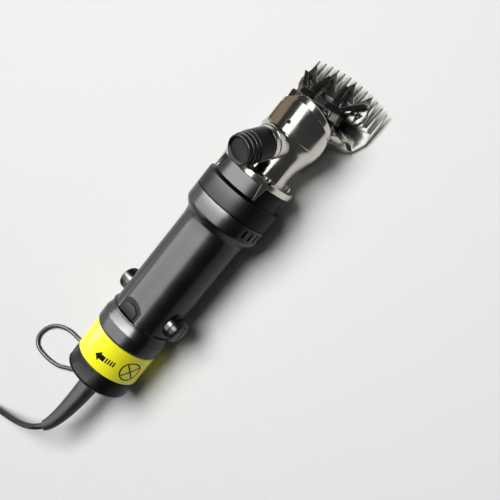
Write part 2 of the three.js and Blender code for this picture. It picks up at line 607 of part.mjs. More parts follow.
function foot(side) {
  const at = (x, y, z, w, h) => rect(x, side * y, z, w, h);
  const root = solid(loft([at(281.8, 12.2, -13.6, 5.2, 3.8), at(286.6, 12.4, -15.4, 5.0, 3.2)]));
  const outer = solid(loft([
    at(283.4, 13.6, -14.4, 2.8, 3.2), at(288.4, 19.4, -18.2, 2.3, 2.6), at(298.6, 28.6, -24.9, 1.9, 1.8),
  ]));
  const inner = solid(loft([
    at(283.4, 11.4, -14.4, 2.8, 3.2), at(290, 10.4, -18.2, 2.3, 2.6), at(303.6, 8.4, -24.9, 1.7, 1.8),
  ]));
  const pins = [[296.8, 27.0], [301.8, 8.6]].map(([x, y]) => (
    solid(rod(vec(x, side * y, CUTTER_TOP + 0.3), vec(x, side * y, -23.6), 1.3, 12))));
  return join(root, outer, inner, ...pins);
}
placeSwinging('fork_foot_left', foot(1), DARK_STEEL);
placeSwinging('fork_foot_right', foot(-1), DARK_STEEL);
[['left', 1], ['right', -1]].forEach(([side, s]) => {
  const head = solid(rod(vec(278, 13.6 * s, -7.9), vec(278, 13.6 * s, -5.9), 3.0));
  const socket = solid(rod(vec(278, 13.6 * s, -6.9), vec(278, 13.6 * s, -5.6), 1.5, 6));
  placeSwinging(`fork_screw_${side}`, head.subtract(socket), NICKEL);
});

function cutter() {
  const half = [
    [282.8, 0], [282.6, 12], [281.4, 19], [281.4, 25], [283.4, 29.6], [287, 31.8], [292, 32.2], [297, 30.6],
    [305.7, 27.9], [305.9, 26.6], [301.5, 23.4], [294.6, 18.2], [301.5, 13.4], [308.6, 10.0], [309.2, 9.15],
    [308.6, 8.3], [302.5, 4.4], [295, 0],
  ];
  const outline = [...half, ...half.slice(1, -1).reverse().map(([x, y]) => [x, -y])];
  const blade = solid(plate(outline, CUTTER_UNDER, CUTTER_TOP));
  const thinning = solid(box(0, 30, -40, 40, 0, 6)
    .rotateY(THREE.MathUtils.degToRad(6.5)).translate(294, 0, CUTTER_TOP));
  const holes = [-1, 1].map((s) => (
    solid(rod(vec(289.4, 25.7 * s, -32), vec(289.4, 25.7 * s, -26), 1.6, 12))));
  return cut(blade, thinning, ...holes);
}
placeSwinging('cutter', cutter(), STEEL);

// ---------------------------------------------------------------- comb
function comb() {
  const half = (COMB_TEETH - 1) / 2;
  const teeth = [];
  for (let k = -half; k <= half; k += 1) {
    const y = k * COMB_PITCH;
    const tip = COMB_TIP_X - TIP_SAG * (k / half) ** 2;
    const root = tip - 17.5;
    const body = Math.min(1.75, 37.9 - Math.abs(y));
    teeth.push(
      [root - 1.5, y - body], [root + 6, y - 1.35], [tip - 0.8, y - 0.5],
      [tip, y], [tip - 0.8, y + 0.5], [root + 6, y + 1.35], [root - 1.5, y + body],
    );
    if (k < half) teeth.push([root - 2.6, y + COMB_PITCH / 2]);
  }
  const outline = [
    [263.4, -16], [263.8, -22], [265.6, -28.6], [270, -34], [279, -37.9], ...teeth,
    [279, 37.9], [270, 34], [265.6, 28.6], [263.8, 22], [263.4, 16],
  ];
  const sheet = solid(plate(outline, COMB_TOP - 3, COMB_TOP));
  const step = [-37.9, -24, -12, 0, 12, 24, 37.9].map((y) => [285.6 - 4.6 * (y / 37.9) ** 2, y]);
  const shelf = [[240, -60], [281, -60], ...step, [281, 60], [240, 60]];
  const aboveShelf = solid(plate(shelf, SHELF_TOP, COMB_TOP + 2));
  const toothRelief = solid(box(0, 40, -50, 50, -6, 0)
    .rotateY(THREE.MathUtils.degToRad(-5)).translate(290, 0, COMB_TOP - 3));
  const rearShelf = solid(box(250, 274, -50, 50, COMB_TOP - 6, COMB_TOP - 2.7));
  const holes = [-1, 1].map((s) => (
    solid(rod(vec(COMB_SCREW_X, COMB_SCREW_Y * s, -40), vec(COMB_SCREW_X, COMB_SCREW_Y * s, -28), 1.9))));
  return cut(sheet, aboveShelf, toothRelief, rearShelf, ...holes);
}
place('comb', comb(), STEEL);
[['left', 1], ['right', -1]].forEach(([side, s]) => {
  const [x, y] = [COMB_SCREW_X, COMB_SCREW_Y * s];
  const head = solid(rod(vec(x, y, -35), vec(x, y, -34), 3.6));
  const shank = solid(rod(vec(x, y, -34.4), vec(x, y, -24), 1.6));
  const slot = solid(box(x - 4, x + 4, y - 0.5, y + 0.5, -36, -34.6));
  place(`comb_screw_${side}`, join(head, shank).subtract(slot), STEEL);
});

// ---------------------------------------------------------------- hanging loop
// It lies on the floor, and its ends rise to the eye that they meet in.
const loopHeight = (x, y) => -25.5 - PITCH * x + 0.15 * Math.max(0, 34 - y);
const loopPath = new THREE.CatmullRomCurve3([
  [3.2, 20], [7, 20.1], [9.6, 21.7], [9.6, 25.4], [5.8, 29.4], [0.4, 34.8], [-3.4, 42], [-4.7, 50.5],
  [-6.2, 61], [-9.8, 69.9], [-15, 77], [-22.6, 82], [-31.5, 83.6], [-38.2, 80.4], [-40.6, 73.8],
  [-40.3, 65.8], [-39.2, 58.6], [-36.2, 49], [-31.2, 41], [-24.6, 31.8], [-16, 24.6], [-7.5, 20.7],
].map(([x, y]) => vec(x, y, loopHeight(x, y))), true);
function hangingLoop() {
  const rings = 40;
  const sides = 6;
  const points = [];
  const faces = [];
  for (let i = 0; i < rings; i += 1) {
    const centre = loopPath.getPointAt(i / rings);
    const out = vec(0, 0, 1).cross(loopPath.getTangentAt(i / rings)).normalize();
    for (let j = 0; j < sides; j += 1) {
      const t = (2 * Math.PI * j) / sides;
      points.push(centre.clone()
        .addScaledVector(out, LOOP_BAR_R * Math.cos(t))
        .add(vec(0, 0, LOOP_BAR_R * Math.sin(t))));
      const [a, b] = [i * sides + j, i * sides + ((j + 1) % sides)];
      const next = ((i + 1) % rings) * sides;
      faces.push(a, b, next + ((j + 1) % sides), a, next + ((j + 1) % sides), next + j);
    }
  }
  const geometry = new THREE.BufferGeometry().setFromPoints(points);
  geometry.setIndex(faces);
  return solid(geometry);
}
place('hanging_loop', hangingLoop(), BLACK_RUBBER);

// ---------------------------------------------------------------- strain relief, cord and plug
const bootCurve = new THREE.QuadraticBezierCurve3(vec(-4.8, 0, 0), vec(-52, 0, 1), vec(-63.6, 7.2, 3));
place('strain_relief', tapered(bootCurve, (t) => 8.8 - 4.3 * t, 8, 16), BLACK_RUBBER);

tool.updateMatrixWorld(true);
const toFloor = (point) => point.clone().applyMatrix4(tool.matrix);
const bootEnd = toFloor(bootCurve.getPoint(1));
const bootAim = toFloor(bootCurve.getPoint(1).addScaledVector(bootCurve.getTangent(1), 1)).sub(bootEnd);
const COIL_CENTRE = vec(-277.6, 85.2, COIL_HALF);
const cordPath = new THREE.CubicBezierCurve3(
  bootEnd.clone().addScaledVector(bootAim, 0.9),
  bootEnd.clone().addScaledVector(bootAim, 22),
  vec(-224.8, 29.4, 6.9),
  vec(-240.5, 64.3, 3.8),
);
const circle = new THREE.Shape(Array.from({ length: 8 }, (_, i) => (
  new THREE.Vector2(...polar(45 * i, CORD_D / 2)))));
place('cord_tube', new THREE.ExtrudeGeometry(circle, {
  steps: 16, bevelEnabled: false, extrudePath: cordPath,
}), GLOSS_CORD, shears);

const coilProfile = [
  [-1, -0.55], [-0.55, -1], [0.55, -1], [1, -0.55], [1, 0.55], [0.55, 1], [-0.55, 1], [-1, 0.55],
].map(([r, z]) => [z * COIL_HALF, COIL_MEAN_R + r * COIL_HALF]);
place('cord_coil', ring(coilProfile, 24).rotateY(-Math.PI / 2)
  .translate(COIL_CENTRE.x, COIL_CENTRE.y, COIL_CENTRE.z), GLOSS_CORD, shears);

// Flat two-pin plug lying across the top of the coil, pins pointing back.
const plug = new THREE.Group();
plug.position.set(COIL_CENTRE.x + 17.9, COIL_CENTRE.y + 22, 2 * COIL_HALF + 7.2);
plug.rotation.z = Math.PI;
shears.add(plug);
const plugHalf = [[-4, 0], [-4, 3.4], [6, 4.6], [12, 8.6], [18, 12.4], [36, 13], [37, 12], [37, 0]];
const plugOutline = [...plugHalf, ...plugHalf.slice(1, -1).reverse().map(([x, y]) => [x, -y])];
place('plug_body', plate(plugOutline, -6.8, 6.8), BLACK_PLASTIC, plug);
[['left', 1], ['right', -1]].forEach(([side, s]) => {
  place(`plug_pin_${side}`, rod(vec(37.3, 9.3 * s, 0), vec(56.3, 9.3 * s, 0), 2), NICKEL, plug);
});

export default shears;
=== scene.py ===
import math

import bmesh
import bpy
from mathutils import Matrix, Vector


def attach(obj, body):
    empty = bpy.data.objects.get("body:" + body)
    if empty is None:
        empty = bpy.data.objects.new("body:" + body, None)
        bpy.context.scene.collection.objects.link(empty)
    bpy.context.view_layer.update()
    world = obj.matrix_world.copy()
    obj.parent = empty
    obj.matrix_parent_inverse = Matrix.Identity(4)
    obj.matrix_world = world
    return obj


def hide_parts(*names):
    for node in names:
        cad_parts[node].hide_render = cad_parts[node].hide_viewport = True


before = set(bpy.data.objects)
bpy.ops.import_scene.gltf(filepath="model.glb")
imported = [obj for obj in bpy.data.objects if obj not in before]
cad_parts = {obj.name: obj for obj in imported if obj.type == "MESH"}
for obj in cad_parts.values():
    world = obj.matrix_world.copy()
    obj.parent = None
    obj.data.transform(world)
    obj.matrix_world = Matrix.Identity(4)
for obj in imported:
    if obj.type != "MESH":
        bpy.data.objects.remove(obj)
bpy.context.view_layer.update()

# ------------------------------------------------------------------ driving sizes, millimetres and degrees
# A name that ends in _R is a radius, and one in _X, _BACK or _FRONT is a place along the tool.
CAP_R = 27.65  # rear cap
CAP_RIM_X = 3.5  # the cap's rim, which rests on the floor
COVER_R = 32.5  # gear cover and front end of the housing
HOUSING_RIM_X = 168.5  # the housing's front rim, which rests on the floor too
BORE_R = 23.3  # room for the motor inside the housing
GRIP_R = 26.2  # housing where the hand holds it
BAND_R = 27.78  # label band
PRINT_R = 27.88  # outer face of the ink on the band
PRINT_UNDER_R = 27.68  # its inner face, sunk in the band
EYE = (20, -23.4)  # y and z of the eye that the hanging loop runs through
EYE_TURN = -49.48  # direction of the eye from the tool's axis
EYE_OUT = 30.78  # distance of the eye from the tool's axis
BRUSH_X = 80  # the two brush caps
WELL_X = 70  # centre of the thumb well's round front
WELL_R = 12  # half the well's width
WELL_BACK = 67.4  # the well's rear edge
WELL_FLOOR = 23.9  # height of the well's floor above the axis
LUG_R = 25.2  # circle of the four head screws
LUGS = (45, 135, 225, 315)  # their directions
LUG_HOLE_R = 1.9
LUG_BOSS_R = 4.6
COVER_BACK = 181.7
FLANGE_BACK = 211.6
FLANGE_FRONT = 216.6
FULCRUM_X = 240
LEFT_FLAT_TURN = 27  # lean of the head's flat upper left side
HOOD_FLAT = 20.6  # distance of that flat from the axis
CHAMBER_FLAT = 18.6  # distance of the same wall's inner face
BED_FACE = -31.9  # underside of the head, which the comb is screwed to
COMB_SCREW_X = 268.5
COMB_SCREW_Y = 24
COMB_HALF = 37.9  # half the comb's width
COMB_UNDER = -34
CUTTER_TOP = -28
SWING = 7.2  # turn of the fork and cutter to the left at rest
D = 5.2  # cord diameter

# ------------------------------------------------------------------ placement
PITCH = math.atan((COVER_R - CAP_R) / (HOUSING_RIM_X - CAP_RIM_X))
REST = CAP_R * math.cos(PITCH) - CAP_RIM_X * math.sin(PITCH)
MM = Matrix.Scale(0.001, 4)
TOOL_AT = (-123.99, -23.78, REST)
TOOL_FRAME = MM @ Matrix.Translation(TOOL_AT) @ Matrix.Rotation(-PITCH, 4, "Y")
FULCRUM = Vector((FULCRUM_X, 0, 0))
SWUNG = (
    TOOL_FRAME
    @ Matrix.Translation(FULCRUM)
    @ Matrix.Rotation(math.radians(SWING), 4, "Z")
    @ Matrix.Translation(-FULCRUM)
)
KNOB_LEAN = math.radians(31)
KNOB_BASE = Vector((238.5, 0, 18))
KNOB_AXIS = Vector((-math.sin(KNOB_LEAN), 0, math.cos(KNOB_LEAN)))
X_AXIS = Vector((1, 0, 0))
SIDES = (("left", 1), ("right", -1))


def polar(degrees, r):
    t = math.radians(degrees)
    return r * math.cos(t), r * math.sin(t)


LUG_CENTRES = [polar(degrees, LUG_R) for degrees in LUGS]


# ------------------------------------------------------------------ camera, as the picture was taken
cam = bpy.data.objects.new("camera", bpy.data.cameras.new("camera"))
bpy.context.scene.collection.objects.link(cam)
bpy.context.scene.camera = cam
cam.data.lens = 53.64
cam.data.sensor_width = 36
cam.data.clip_start, cam.data.clip_end = 0.01, 20
RIGHT = Vector((0.634519, -0.644319, -0.426894))
UP = Vector((0.749645, 0.647521, 0.136929))
BACK = Vector((0.188197, -0.406903, 0.893875))
CAMERA_AT = (0.147444, -0.285015, 0.529980)
cam.matrix_world = Matrix.Translation(CAMERA_AT) @ Matrix((RIGHT, UP, BACK)).transposed().to_4x4()


# ------------------------------------------------------------------ finishes
FACTOR, FIRST, SECOND = 0, 6, 7  # input sockets of a mix of two colours
MIXED = 2  # its output socket
SOFT_EDGE = 0.0003  # radius in metres to which sharp edges look worn


def material(name, colour, rough, metal=0.0, grain=1500.0, depth=0.02, mottle=0.1, stretch=(1, 1, 1),
             spread=0.06, specular=0.5, worn=None, worn_share=0.0):
    """Finish with fine grain in the bump, slow mottling in colour and roughness, and softened edges.

    With a worn colour, patches of it show through up to worn_share.
    """
    m = bpy.data.materials.new(name)
    m.use_nodes = True
    nodes, links = m.node_tree.nodes, m.node_tree.links
    shader = nodes["Principled BSDF"]
    shader.inputs["Metallic"].default_value = metal
    shader.inputs["Specular IOR Level"].default_value = specular
    place = nodes.new("ShaderNodeTexCoord")
    turn = nodes.new("ShaderNodeMapping")
    turn.inputs["Scale"].default_value = stretch
    links.new(place.outputs["Object"], turn.inputs["Vector"])

    def noise(scale, detail):
        n = nodes.new("ShaderNodeTexNoise")
        n.inputs["Scale"].default_value = scale
        n.inputs["Detail"].default_value = detail
        links.new(turn.outputs["Vector"], n.inputs["Vector"])
        return n.outputs["Fac"]

    def remapped(value, low, high):
        r = nodes.new("ShaderNodeMapRange")
        r.inputs["From Min"].default_value = 0.3
        r.inputs["From Max"].default_value = 0.7
        r.inputs["To Min"].default_value = low
        r.inputs["To Max"].default_value = high
        links.new(value, r.inputs["Value"])
        return r.outputs["Result"]

    fine = noise(grain, 3)
    slow = noise(60, 4)
    shade = nodes.new("ShaderNodeMix")
    shade.data_type = "RGBA"
    shade.inputs[FIRST].default_value = (*[c * (1 - mottle) for c in colour], 1)
    shade.inputs[SECOND].default_value = (*[min(1, c * (1 + mottle)) for c in colour], 1)
    links.new(slow, shade.inputs[FACTOR])
    tint = shade.outputs[MIXED]
    if worn:
        patches = nodes.new("ShaderNodeMix")
        patches.data_type = "RGBA"
        links.new(remapped(noise(170, 6), 0.0, worn_share), patches.inputs[FACTOR])
        links.new(tint, patches.inputs[FIRST])
        patches.inputs[SECOND].default_value = (*worn, 1)
        tint = patches.outputs[MIXED]
    links.new(tint, shader.inputs["Base Color"])
    links.new(remapped(slow, max(0.02, rough - spread), rough + spread), shader.inputs["Roughness"])
    soft = nodes.new("ShaderNodeBevel")
    soft.samples = 4
    soft.inputs["Radius"].default_value = SOFT_EDGE
    bump = nodes.new("ShaderNodeBump")
    bump.inputs["Strength"].default_value = 1.0
    bump.inputs["Distance"].default_value = depth * 0.001
    links.new(fine, bump.inputs["Height"])
    links.new(soft.outputs["Normal"], bump.inputs["Normal"])
    links.new(bump.outputs["Normal"], shader.inputs["Normal"])
    return m


PLASTIC = material("moulded_black", (0.005, 0.0055, 0.0055), 0.24, grain=2600, depth=0.012, mottle=0.06,
                   spread=0.02, specular=0.3)
COVER = material("moulded_black_satin", (0.005, 0.0055, 0.006), 0.32, grain=2200, depth=0.02, mottle=0.06,
                 spread=0.02, specular=0.1)
KNOB = material("turned_black", (0.003, 0.003, 0.003), 0.2, grain=1100, depth=0.05, stretch=(1, 1, 0.3),
                specular=0.13)
MATT = material("matt_black", (0.006, 0.006, 0.006), 0.5, grain=2600, depth=0.02, specular=0.06)
RUBBER = material("black_rubber", (0.008, 0.0085, 0.009), 0.42, grain=3000, depth=0.03, specular=0.25)
CORD_SHEATH = material("cord_sheath", (0.008, 0.008, 0.009), 0.26, grain=900, depth=0.02, specular=0.16)
YELLOW = material("yellow_print", (0.84, 0.80, 0.02), 0.34, grain=1800, depth=0.01, mottle=0.05)
INK = material("black_print", (0.008, 0.008, 0.006), 0.6, grain=1800, depth=0.01, specular=0.1)
CAST = material("cast_aluminium", (0.60, 0.58, 0.53), 0.16, 1.0, grain=900, depth=0.03, mottle=0.12)
COMB_STEEL = material("ground_steel", (0.50, 0.50, 0.46), 0.24, 1.0, grain=700, depth=0.012,
                      stretch=(0.1, 1.6, 1))
CUTTER_STEEL = material("hardened_steel", (0.56, 0.54, 0.50), 0.26, 1.0, grain=700, depth=0.012,
                        stretch=(1.4, 0.1, 1))
BLACKENED = material("blackened_steel", (0.018, 0.018, 0.019), 0.2, 0.0, grain=900, depth=0.02,
                     specular=0.9, worn=(0.10, 0.09, 0.08), worn_share=0.35)
NICKEL = material("nickel_plate", (0.78, 0.77, 0.74), 0.14, 1.0, grain=900, depth=0.006)
STEEL = material("turned_steel", (0.52, 0.52, 0.51), 0.24, 1.0, grain=1400, depth=0.01)
BRASS = material("brass", (0.60, 0.42, 0.16), 0.3, 1.0, grain=1400, depth=0.01)
COPPER = material("copper_wire", (0.58, 0.24, 0.11), 0.36, 1.0, grain=2400, depth=0.06, stretch=(1, 4, 4))
CARBON = material("pressed_carbon", (0.03, 0.03, 0.032), 0.7, grain=2600, depth=0.03)
LAMINATION = material("stacked_laminations", (0.20, 0.21, 0.22), 0.45, 0.8, grain=1600, depth=0.05,
                      stretch=(6, 1, 1))
NYLON = material("natural_nylon", (0.66, 0.62, 0.52), 0.5, grain=1600, depth=0.015)


# ------------------------------------------------------------------ bodies
OVAL_POINTS = 72


def mesh_of(name, points, faces):
    mesh = bpy.data.meshes.new(name)
    mesh.from_pydata([tuple(p) for p in points], [], faces)
    mesh.validate()
    b = bmesh.new()
    b.from_mesh(mesh)
    bmesh.ops.remove_doubles(b, verts=b.verts, dist=1e-4)
    bmesh.ops.recalc_face_normals(b, faces=b.faces)
    b.to_mesh(mesh)
    b.free()
    return mesh


def across(axis):
    """Two directions square to the axis; for the x axis they are y and z."""
    first = Vector((0, 1, 0)) if abs(axis.y) < 0.9 else Vector((0, 0, 1))
    second = axis.cross(first).normalized()
    return second.cross(axis).normalized(), second


def filleted(profile, closed):
    """Profile of [s, r] or [s, r, fillet radius] with the marked corners rounded."""
    out = []
    n = len(profile)
    for i, point in enumerate(profile):
        p = Vector(point[:2])
        if len(point) < 3 or (not closed and i in (0, n - 1)):
            out.append(p)
            continue
        a = Vector(profile[i - 1][:2]) - p
        b = Vector(profile[(i + 1) % n][:2]) - p
        cut_back = min(point[2], 0.45 * a.length, 0.45 * b.length)
        start, end = p + a.normalized() * cut_back, p + b.normalized() * cut_back
        for k in range(6):
            t = k / 5
            out.append(start * (1 - t) ** 2 + p * 2 * t * (1 - t) + end * t * t)
    return out


def turned(profile, origin=Vector((0, 0, 0)), axis=X_AXIS, segments=96, closed=False):
    """Body of a [s, r] profile turned about an axis; s runs along it from the origin."""
    line = filleted(profile, closed)
    u, v = across(axis)
    points, faces, rows = [], [], []
    for s, r in line:
        if r < 1e-6:
            rows.append([len(points)] * segments)
            points.append(origin + axis * s)
            continue
        rows.append(list(range(len(points), len(points) + segments)))
        for k in range(segments):
            t = 2 * math.pi * k / segments
            points.append(origin + axis * s + u * r * math.cos(t) + v * r * math.sin(t))
    pairs = list(zip(rows, rows[1:])) + ([(rows[-1], rows[0])] if closed else [])
    for low, high in pairs:
        for k in range(segments):
            j = (k + 1) % segments
            corners = [low[k], low[j], high[j], high[k]]
            face = [p for i, p in enumerate(corners) if p not in corners[:i]]
            if len(face) > 2:
                faces.append(face)
    return mesh_of("turned", points, faces)


def rod(start, end, r, segments=32):
    start, end = Vector(start), Vector(end)
    length = (end - start).length
    return turned([[0, 0], [0, r], [length, r], [length, 0]], start, (end - start).normalized(), segments)


def lug_rods(x0, x1, r):
    """A rod along the tool at each of the four head screws."""
    return [rod((x0, y, z), (x1, y, z), r) for y, z in LUG_CENTRES]


def loft(rings):
    """Closed body skinned over rings of equal point count."""
    n = len(rings[0])
    points = [p for ring in rings for p in ring]
    faces = []
    for i in range(len(rings) - 1):
        for j in range(n):
            a, b = i * n + j, i * n + (j + 1) % n
            faces.append([a, b, b + n, a + n])
    faces += [list(range(n)), list(range(len(points) - n, len(points)))]
    return mesh_of("loft", points, faces)


def oval(x, zc, a, b, shear=0.0, power=2.0):
    """Oval across the tool at x with its centre at height zc; a and b are half its width and height.

    A shear leans it forward towards its top, and a power other than 2 makes it squarer or more pointed.
    """
    ring = []
    for i in range(OVAL_POINTS):
        t = 2 * math.pi * i / OVAL_POINTS
        c, s = math.cos(t), math.sin(t)
        y = a * math.copysign(abs(c) ** (2 / power), c)
        z = zc + b * math.copysign(abs(s) ** (2 / power), s)
        ring.append(Vector((x + shear * z, y, z)))
    return ring


def rect(x, y, z, w, h):
    """Rectangle across the tool about a point; w and h are half its width and height."""
    return [Vector((x, y + a * w, z + b * h)) for a, b in ((1, 1), (-1, 1), (-1, -1), (1, -1))]


def plate(outline, z0, z1, turn=None):
    """Outline in x and y raised from z0 to z1."""
    rings = [[Vector((x, y, z)) for x, y in outline] for z in (z0, z1)]
    if turn:
        rings = [[turn @ p for p in ring] for ring in rings]
    return loft(rings)


def block(x0, x1, y0, y1, z0, z1, turn=None):
    return plate([(x0, y0), (x1, y0), (x1, y1), (x0, y1)], z0, z1, turn)


def both_halves(half):
    """Closed outline from its left half, which begins and ends on the centre line."""
    return half + [(x, -y) for x, y in half[-2:0:-1]]


def about_x(degrees):
    return Matrix.Rotation(math.radians(degrees), 4, "X")


def combined(base, others, operation):
    """Boolean of a mesh with several others."""
    if not others:
        return base
    made = bpy.data.objects.new("work", base)
    bpy.context.scene.collection.objects.link(made)
    helpers = []
    for other in others:
        helper = bpy.data.objects.new("helper", other)
        bpy.context.scene.collection.objects.link(helper)
        helpers.append(helper)
        step = made.modifiers.new("step", "BOOLEAN")
        step.operation = operation
        step.solver = "MANIFOLD"
        step.object = helper
    bpy.context.view_layer.update()
    graph = bpy.context.evaluated_depsgraph_get()
    result = bpy.data.meshes.new_from_object(made.evaluated_get(graph))
    for o in [made, *helpers]:
        bpy.data.objects.remove(o)
    return result


def join(base, *others):
    return combined(base, others, "UNION")


def cut(base, *others):
    return combined(base, others, "DIFFERENCE")


def smooth_line(points, steps):
    """Points along a closed smooth curve through the given points."""
    out, n = [], len(points)
    for i in range(n):
        p0, p1, p2, p3 = (Vector(points[(i + k - 1) % n]) for k in range(4))
        for k in range(steps):
            t = k / steps
            out.append(0.5 * (2 * p1 + (p2 - p0) * t + (2 * p0 - 5 * p1 + 4 * p2 - p3) * t * t
                              + (3 * p1 - p0 - 3 * p2 + p3) * t ** 3))
    return out


def bezier(a, b, c, d, steps):
    out = []
    for k in range(steps + 1):
        t = k / steps
        out.append(a * (1 - t) ** 3 + b * 3 * t * (1 - t) ** 2 + c * 3 * t * t * (1 - t) + d * t ** 3)
    return out


def swept(line, radius, sides=20, loop=False):
    """Round bar along a line of points; radius is a function of the share of its length."""
    n = len(line)
    points, faces = [], []
    side = None
    for i, p in enumerate(line):
        ahead = line[(i + 1) % n] if loop or i + 1 < n else p
        behind = line[i - 1] if loop or i else p
        along = (ahead - behind).normalized()
        if side is None:
            side = across(along)[0]
        side = (side - along * side.dot(along)).normalized()
        other = along.cross(side)
        for k in range(sides):
            t = 2 * math.pi * k / sides
            points.append(p + (side * math.cos(t) + other * math.sin(t)) * radius(i / (n - 1)))
    for i in range(n if loop else n - 1):
        for k in range(sides):
            a, b = i * sides + k, i * sides + (k + 1) % sides
            c, d = ((i + 1) % n) * sides + (k + 1) % sides, ((i + 1) % n) * sides + k
            faces.append([a, b, c, d])
    if not loop:
        faces += [list(range(sides)), list(range((n - 1) * sides, n * sides))]
    return mesh_of("swept", points, faces)


SHOWN = []


def piece(name, mesh, finish, body, nodes=(), matrix=TOOL_FRAME, angle=32.0, bevel=0.0):
    """Shown piece: placed in the shared frame, riding its body and standing for its CAD nodes."""
    mesh.transform(matrix)
    mesh.materials.clear()
    mesh.materials.append(finish)
    made = bpy.data.objects.new(name, mesh)
    bpy.context.scene.collection.objects.link(made)
    if bevel:
        edge = made.modifiers.new("edge", "BEVEL")
        edge.width = bevel * 0.001
        edge.segments = 2
        edge.limit_method = "ANGLE"
        edge.angle_limit = math.radians(35)
        bpy.context.view_layer.update()
        graph = bpy.context.evaluated_depsgraph_get()
        made.data = bpy.data.meshes.new_from_object(made.evaluated_get(graph))
        made.modifiers.clear()
    made.data.shade_smooth()
    made.data.set_sharp_from_angle(angle=math.radians(angle))
    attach(made, body)
    if nodes:
        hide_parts(*nodes)
    SHOWN.append(made)
    return made


# ------------------------------------------------------------------ rear cap, label band and its print
rear_cap = turned([
    [0, 3.0], [0, 21.5, 2], [3.2, CAP_R, 2.6], [18.3, CAP_R, 0.3], [18.6, 27.0], [46.1, 27.0],
    [46.1, 24.3], [4.0, 24.3], [4.0, 3.0],
], closed=True)
gland = turned([[-4, 3.0], [-4, 9.8, 0.8], [1, 10.4], [1, 3.0]], closed=True, segments=48)
ear = join(block(1.2, 5.2, 25, EYE_OUT, -4, 4, about_x(EYE_TURN)), rod((1.2, *EYE), (5.2, *EYE), 4))
recess = turned([[4.4, 26.2], [3.6, 30], [17.4, 30], [17.0, 26.2]], closed=True, segments=96)
recess = combined(recess, [block(0, 20, 0, 40, 0, 40, about_x(22))], "INTERSECT")
rear_cap = cut(join(rear_cap, gland, ear), rod((0, *EYE), (7, *EYE), 2.4), recess)
piece("cap_shell", rear_cap, COVER, "handpiece", ["rear_cap"], bevel=0.3)

band = turned([[18.7, 27.2], [18.7, BAND_R, 0.2], [45.7, BAND_R, 0.2], [45.7, 27.2]], closed=True)
piece("band", band, YELLOW, "handpiece", ["label_band"])


def wrapped(name, outline, x, degrees, hole=None):
    """Thin printed mark on the band; its outline about a point runs along the tool and round the band."""
    def stamp(points):
        flat = [(x + a, -PRINT_R * math.sin(u / PRINT_R)) for a, u in points]
        return plate(flat, 20, 40, about_x(degrees - 90))

    skin = turned([
        [19, PRINT_UNDER_R], [45.4, PRINT_UNDER_R], [45.4, PRINT_R], [19, PRINT_R],
    ], closed=True, segments=192)
    mark = stamp(outline)
    if hole:
        mark = cut(mark, stamp(hole))
    piece(name, combined(skin, [mark], "INTERSECT"), INK, "handpiece")


ARROW_X, ARROW_TURN = 29.9, 112
RING_X, RING_TURN = 31.5, 161
arrow = [(-0.9, -8.7), (4.0, -4.4), (2.1, -4.3), (2.3, 0.2), (-2.1, 0.2), (-2.3, -4.3), (-4.4, -4.4)]
wrapped("print_arrow", arrow, ARROW_X, ARROW_TURN)
for k in range(4):
    u = 1.2 + 2.2 * k
    bar = [(2.4, u), (2.5, u + 1.2), (-1.9, u + 1.2), (-2.0, u)]
    wrapped(f"print_arrow_bar_{k + 1}", bar, ARROW_X + 0.12 * u, ARROW_TURN)
ring_outside, ring_inside = ([polar(6 * k, radius) for k in range(60)] for radius in (9, 8))
wrapped("print_ring", ring_outside, RING_X, RING_TURN, hole=ring_inside)
for name, sign in (("rising", 1), ("falling", -1)):
    bar = [(-5.2, -5.9 * sign), (5.9, 5.2 * sign), (5.2, 5.9 * sign), (-5.9, -5.2 * sign)]
    wrapped(f"print_cross_{name}", bar, RING_X, RING_TURN)

# ------------------------------------------------------------------ motor housing
housing = turned([
    [46.5, BORE_R], [46.5, 28.0], [47.4, 28.8, 0.8], [57.5, 28.9, 0.6], [65.2, 26.7, 0.3], [65.6, 27.7, 0.3],
    [66.9, 27.7, 0.3], [67.6, GRIP_R, 0.4], [156, GRIP_R, 5], [162, 27.4, 2], [165.6, 30.6, 2],
    [HOUSING_RIM_X, COVER_R, 1.2], [181.1, COVER_R, 0.3], [181.2, 29.3], [169, 29.3], [169, BORE_R],
], closed=True)
brush_bosses = []
brush_holes = []
for sign in (-1, 1):
    brush_boss = rod((BRUSH_X, 24.2 * sign, 0), (BRUSH_X, 28.6 * sign, 0), 9.6, 48)
    brush_bosses.append(cut(brush_boss, rod((60, 0, 0), (100, 0, 0), BORE_R, 64)))
    brush_holes.append(rod((BRUSH_X, 20 * sign, 0), (BRUSH_X, 30 * sign, 0), 6.8))
vent_turns = [middle + lean for middle in (0, 180) for lean in (-24, -12, 0, 12, 24)]
vents = [block(171.5, 178.5, 27, 35, -1.3, 1.3, about_x(degrees)) for degrees in vent_turns]
well = [(WELL_BACK, -WELL_R)]
for k in range(25):
    t = math.pi * (k / 24 - 0.5)
    well.append((WELL_X + WELL_R * math.cos(t), WELL_R * math.sin(t)))
well.append((WELL_BACK, WELL_R))


def switch_window():
    return block(69.2, 75.8, -3.3, 3.3, 20, 40)


seams = [block(68, 164, 26.0, 26.5, -0.35, 0.35, about_x(degrees)) for degrees in (8, 172)]
housing = join(housing, *lug_rods(168, 181.2, LUG_BOSS_R), *brush_bosses, *seams)
housing = cut(housing, *lug_rods(171, 183, LUG_HOLE_R), *brush_holes, *vents,
              plate(well, WELL_FLOOR, 40), switch_window())
piece("motor_shell", housing, PLASTIC, "handpiece", ["motor_housing"])

